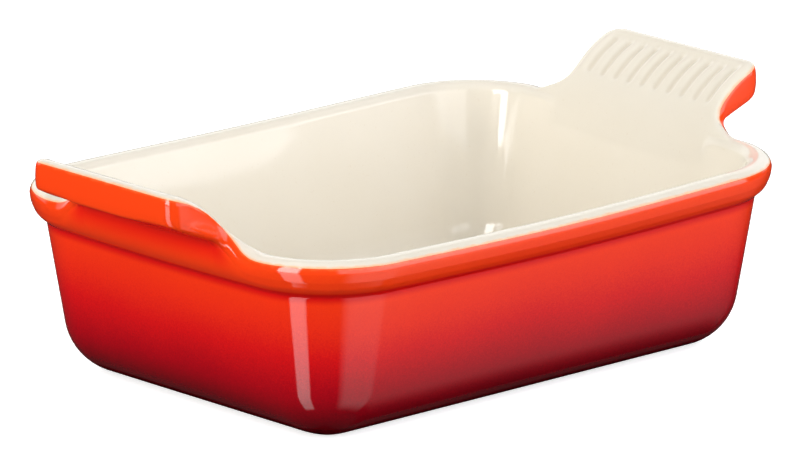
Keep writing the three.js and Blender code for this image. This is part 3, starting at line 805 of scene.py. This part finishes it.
FOOT_OUTER = BASE_FILLET[0][0] + FOOT_CLEARANCE
FOOT_INNER = FOOT_OUTER + FOOT_WIDTH
foot_rings = rings([
    level(FOOT_INNER + 0.8, FOOT_RECESS + GLAZE_THICKNESS),
    level(FOOT_INNER + 0.35, FOOT_RECESS * 0.45),
    level(FOOT_INNER, 0.1),
    level(FOOT_INNER - 0.4, 0),
    level(FOOT_OUTER + 0.7, 0),
    level(FOOT_OUTER + 0.3, 0.1),
    level(FOOT_OUTER, BASE_FILLET[0][1] + GLAZE_THICKNESS),
])
body_rings = np.concatenate([foot_rings, under.reshape(ROWS, AROUND, 3)])
body_points, body_faces = solid_from(
    body_rings, (0, 0, FLOOR_HEIGHT - GLAZE_THICKNESS), (0, 0, FOOT_RECESS + GLAZE_THICKNESS)
)
make_piece(
    "stoneware_body_look", body_points, body_faces, stoneware(), "stoneware_body"
)

panel_rings = rings([
    level(FOOT_INNER + 2.1, FOOT_RECESS),
    level(FOOT_INNER + 1.75, FOOT_RECESS + 0.12),
    level(FOOT_INNER + 1.6, FOOT_RECESS + 0.3),
    level(FOOT_INNER + 1.6, FOOT_RECESS + GLAZE_THICKNESS),
])
panel_points, panel_faces = solid_from(
    panel_rings, (0, 0, FOOT_RECESS + GLAZE_THICKNESS), (0, 0, FOOT_RECESS)
)
make_piece(
    "base_glaze_look", panel_points, panel_faces, base_red_glaze(), "base_glaze"
)


# Floor, lamps, background and camera


def staged(name, corners, faces, material):
    """A mesh around the dish that is not part of it."""
    mesh = bpy.data.meshes.new(name)
    places = [tuple(map(float, corner)) for corner in corners]
    mesh.from_pydata(places, [], [tuple(map(int, f)) for f in faces])
    mesh.materials.append(material)
    item = bpy.data.objects.new(name, mesh)
    bpy.context.scene.collection.objects.link(item)
    return item


def flat(half_length, half_width, height):
    return [(x * half_length, y * half_width, height) for x, y in ((-1, -1), (1, -1), (1, 1), (-1, 1))]


FLOOR_SPAN = 60.0
FLOOR_LEVEL = -0.0004
floor_nodes = Nodes("floor")
sight = floor_nodes.add("ShaderNodeLightPath").outputs["Is Camera Ray"]
tone = floor_nodes.mix(floor_nodes.noise(3, 2), (0.82, 0.82, 0.82), (0.84, 0.84, 0.84))
tone = floor_nodes.mix(sight, (FLOOR_BOUNCE, FLOOR_BOUNCE, FLOOR_BOUNCE), tone)
floor_inputs = floor_nodes.shader.inputs
floor_inputs["Roughness"].default_value = 1.0
floor_inputs["Specular IOR Level"].default_value = 0.0
floor_nodes.link(tone, floor_inputs["Base Color"])
floor_inputs["Emission Color"].default_value = (1, 1, 1, 1)
floor_nodes.link(floor_nodes.math("MULTIPLY", sight, FLOOR_GLOW), floor_inputs["Emission Strength"])
floor_corners = flat(FLOOR_SPAN, FLOOR_SPAN, FLOOR_LEVEL)
floor = staged("floor", floor_corners, [(0, 1, 2, 3)], floor_nodes.material)
floor.visible_glossy = False


def way_to(angle, elevation):
    a, e = math.radians(angle), math.radians(elevation)
    return Vector((math.cos(a) * math.cos(e), math.sin(a) * math.cos(e), math.sin(e)))


LAMP_DISTANCE = 2.4
DISH_MIDDLE = Vector((0, 0, 0.04))


def lamp(name, angle, elevation, width, height, level, color=(1, 1, 1)):
    """Soft box that lights the dish, placed by its direction. Reflections show the cards instead."""
    light = bpy.data.lights.new(name, "AREA")
    light.shape = "RECTANGLE"
    light.size = width
    light.size_y = height
    light.color = color
    light.energy = math.pi * math.pi * LAMP_DISTANCE * LAMP_DISTANCE * level
    item = bpy.data.objects.new(name, light)
    way = way_to(angle, elevation)
    item.location = DISH_MIDDLE + way * LAMP_DISTANCE
    item.rotation_euler = way.to_track_quat("Z", "Y").to_euler()
    item.visible_camera = False
    item.visible_glossy = False
    bpy.context.scene.collection.objects.link(item)


def glow_material(name):
    material = bpy.data.materials.new(name)
    material.use_nodes = True
    tree = material.node_tree
    tree.nodes.clear()
    glow = tree.nodes.new("ShaderNodeAttribute")
    glow.attribute_name = "glow"
    emission = tree.nodes.new("ShaderNodeEmission")
    output = tree.nodes.new("ShaderNodeOutputMaterial")
    tree.links.new(glow.outputs["Fac"], emission.inputs["Strength"])
    tree.links.new(emission.outputs["Emission"], output.inputs["Surface"])
    return material


CARD_MATERIAL = glow_material("card")
CARD_DISTANCE = 8.0
SURROUND_DISTANCE = 12.0


def only_reflected(item):
    item.visible_camera = False
    item.visible_diffuse = False
    item.visible_transmission = False
    item.visible_volume_scatter = False
    item.visible_shadow = False


def card(name, angles, elevations, glow, distance=CARD_DISTANCE):
    """A curved panel around the dish that only reflections show, with its brightness at each place."""
    corners = [way_to(a, e) * distance for e in elevations for a in angles]
    wide, high = len(angles), len(elevations)
    faces = [
        (j * wide + i, j * wide + i + 1, (j + 1) * wide + i + 1, (j + 1) * wide + i)
        for j in range(high - 1)
        for i in range(wide - 1)
    ]
    item = staged(name, corners, faces, CARD_MATERIAL)
    layer = item.data.attributes.new("glow", "FLOAT", "POINT")
    layer.data.foreach_set("value", [float(glow(a, e)) for e in elevations for a in angles])
    only_reflected(item)


COOL = (0.975, 1.0, 1.05)
WARM = (1.0, 0.995, 0.965)
lamp("right_low", -70, 12, 1.6, 0.8, 0.42, COOL)
lamp("right", -70, 32, 1.6, 1.0, 0.36, COOL)
lamp("left_low", -194, 12, 1.4, 0.8, 0.50, WARM)
lamp("left", -194, 34, 1.4, 1.0, 0.28, WARM)
lamp("front", -132, 25, 1.6, 1.0, 0.24)
lamp("back", 48, 40, 1.6, 1.2, 0.44)
lamp("top", 48, 82, 1.6, 1.2, 0.16)

# Cards, by angle around the dish and elevation: a narrow strip on the left, a wide box on the right,
# their dimmer images in a glossy table, and a pale backdrop. All around them it is dark.
STRIP = np.linspace(-188, -160, 29)
BOX_ON_TABLE = (
    (-116, 0),
    (-102, 1.05),
    (-88, 1.1),
    (-56, 0.92),
    (-50, 0.75),
    (-47, 0.55),
    (-44, 0.4),
    (-10, 0.16),
    (14, 0),
)


def strip_glow(a, e):
    return 11 * between(a, -187, -161, 3) * between(e, -2, 42, 2)


def strip_on_table_glow(a, e):
    level = lerp(4.6, 2.4, clamp((-e - 10) / 38))
    return level * between(a, -187, -161, 3) * between(e, -58, -2, 4)


def box_glow(a, e):
    level = lerp(2.4, 3.2, smoothstep(a, -95, -75))
    return level * between(a, -124, -34, 5) * between(e, 0, 37, 3)


def box_on_table_glow(a, e):
    level = np.interp(a, *zip(*BOX_ON_TABLE))
    along = smoothstep(a, -52, -46)
    return level * smoothstep(e, lerp(-62, -52, along), lerp(-42, -36, along))


def backdrop_glow(a, e):
    return 1.2 * between(a, -10, 125, 10) * between(e, 0, 36, 6)


card(
    "surround", np.linspace(-180, 180, 25), np.linspace(-90, 90, 13), lambda a, e: SURROUND,
    SURROUND_DISTANCE,
)
card("strip_left", STRIP, np.linspace(-2, 42, 23), strip_glow)
card("strip_left_on_table", STRIP, np.linspace(-58, -2, 29), strip_on_table_glow)
card("softbox_right", np.linspace(-124, -34, 46), np.linspace(0, 37, 20), box_glow)
card("softbox_right_on_table", np.linspace(-116, 14, 131), np.linspace(-62, 0, 32), box_on_table_glow)
card("backdrop", np.linspace(-10, 125, 55), np.linspace(0, 36, 19), backdrop_glow)

# The table right under the dish, which is dark in its reflections
under_dish = flat(0.103, 0.069, -0.0007)
only_reflected(staged("table_under_dish", under_dish, [(0, 1, 2, 3)], CARD_MATERIAL))


world = bpy.data.worlds.new("studio")
bpy.context.scene.world = world
world.use_nodes = True
tree = world.node_tree
background = tree.nodes["Background"]
path = tree.nodes.new("ShaderNodeLightPath")
seen = tree.nodes.new("ShaderNodeMath")
seen.operation = "ADD"
tree.links.new(path.outputs["Is Camera Ray"], seen.inputs[0])
tree.links.new(path.outputs["Is Glossy Ray"], seen.inputs[1])
also = tree.nodes.new("ShaderNodeMath")
also.operation = "ADD"
also.use_clamp = True
tree.links.new(seen.outputs[0], also.inputs[0])
tree.links.new(path.outputs["Is Transmission Ray"], also.inputs[1])
level_node = tree.nodes.new("ShaderNodeMapRange")
level_node.inputs["To Min"].default_value = AMBIENT
level_node.inputs["To Max"].default_value = 1.0
tree.links.new(also.outputs[0], level_node.inputs["Value"])
background.inputs["Color"].default_value = (1, 1, 1, 1)
tree.links.new(level_node.outputs["Result"], background.inputs["Strength"])

CAMERA_LENS = 433.17
CAMERA_TURN = math.radians(-42.449)
CAMERA_TILT = math.radians(15.220)
CAMERA_BACK = 3.70291
CAMERA_UP = 0.0476
CAMERA_RIGHT = -0.00097
camera_data = bpy.data.cameras.new("camera")
camera_data.lens = CAMERA_LENS
camera_data.sensor_width = 36.0
camera_data.sensor_fit = "HORIZONTAL"
camera_data.clip_start = 0.05
camera_data.clip_end = 100.0
camera = bpy.data.objects.new("camera", camera_data)
bpy.context.scene.collection.objects.link(camera)
bpy.context.scene.camera = camera
sin_turn, cos_turn = math.sin(CAMERA_TURN), math.cos(CAMERA_TURN)
sin_tilt, cos_tilt = math.sin(CAMERA_TILT), math.cos(CAMERA_TILT)
right = Vector((cos_turn, sin_turn, 0))
up = Vector((-sin_turn * sin_tilt, cos_turn * sin_tilt, cos_tilt))
back = Vector((sin_turn * cos_tilt, -cos_turn * cos_tilt, sin_tilt))
pose = Matrix((right, up, back)).transposed().to_4x4()
pose.translation = back * CAMERA_BACK + up * CAMERA_UP + right * CAMERA_RIGHT
camera.matrix_world = pose

bpy.context.scene.view_settings.view_transform = "Standard"
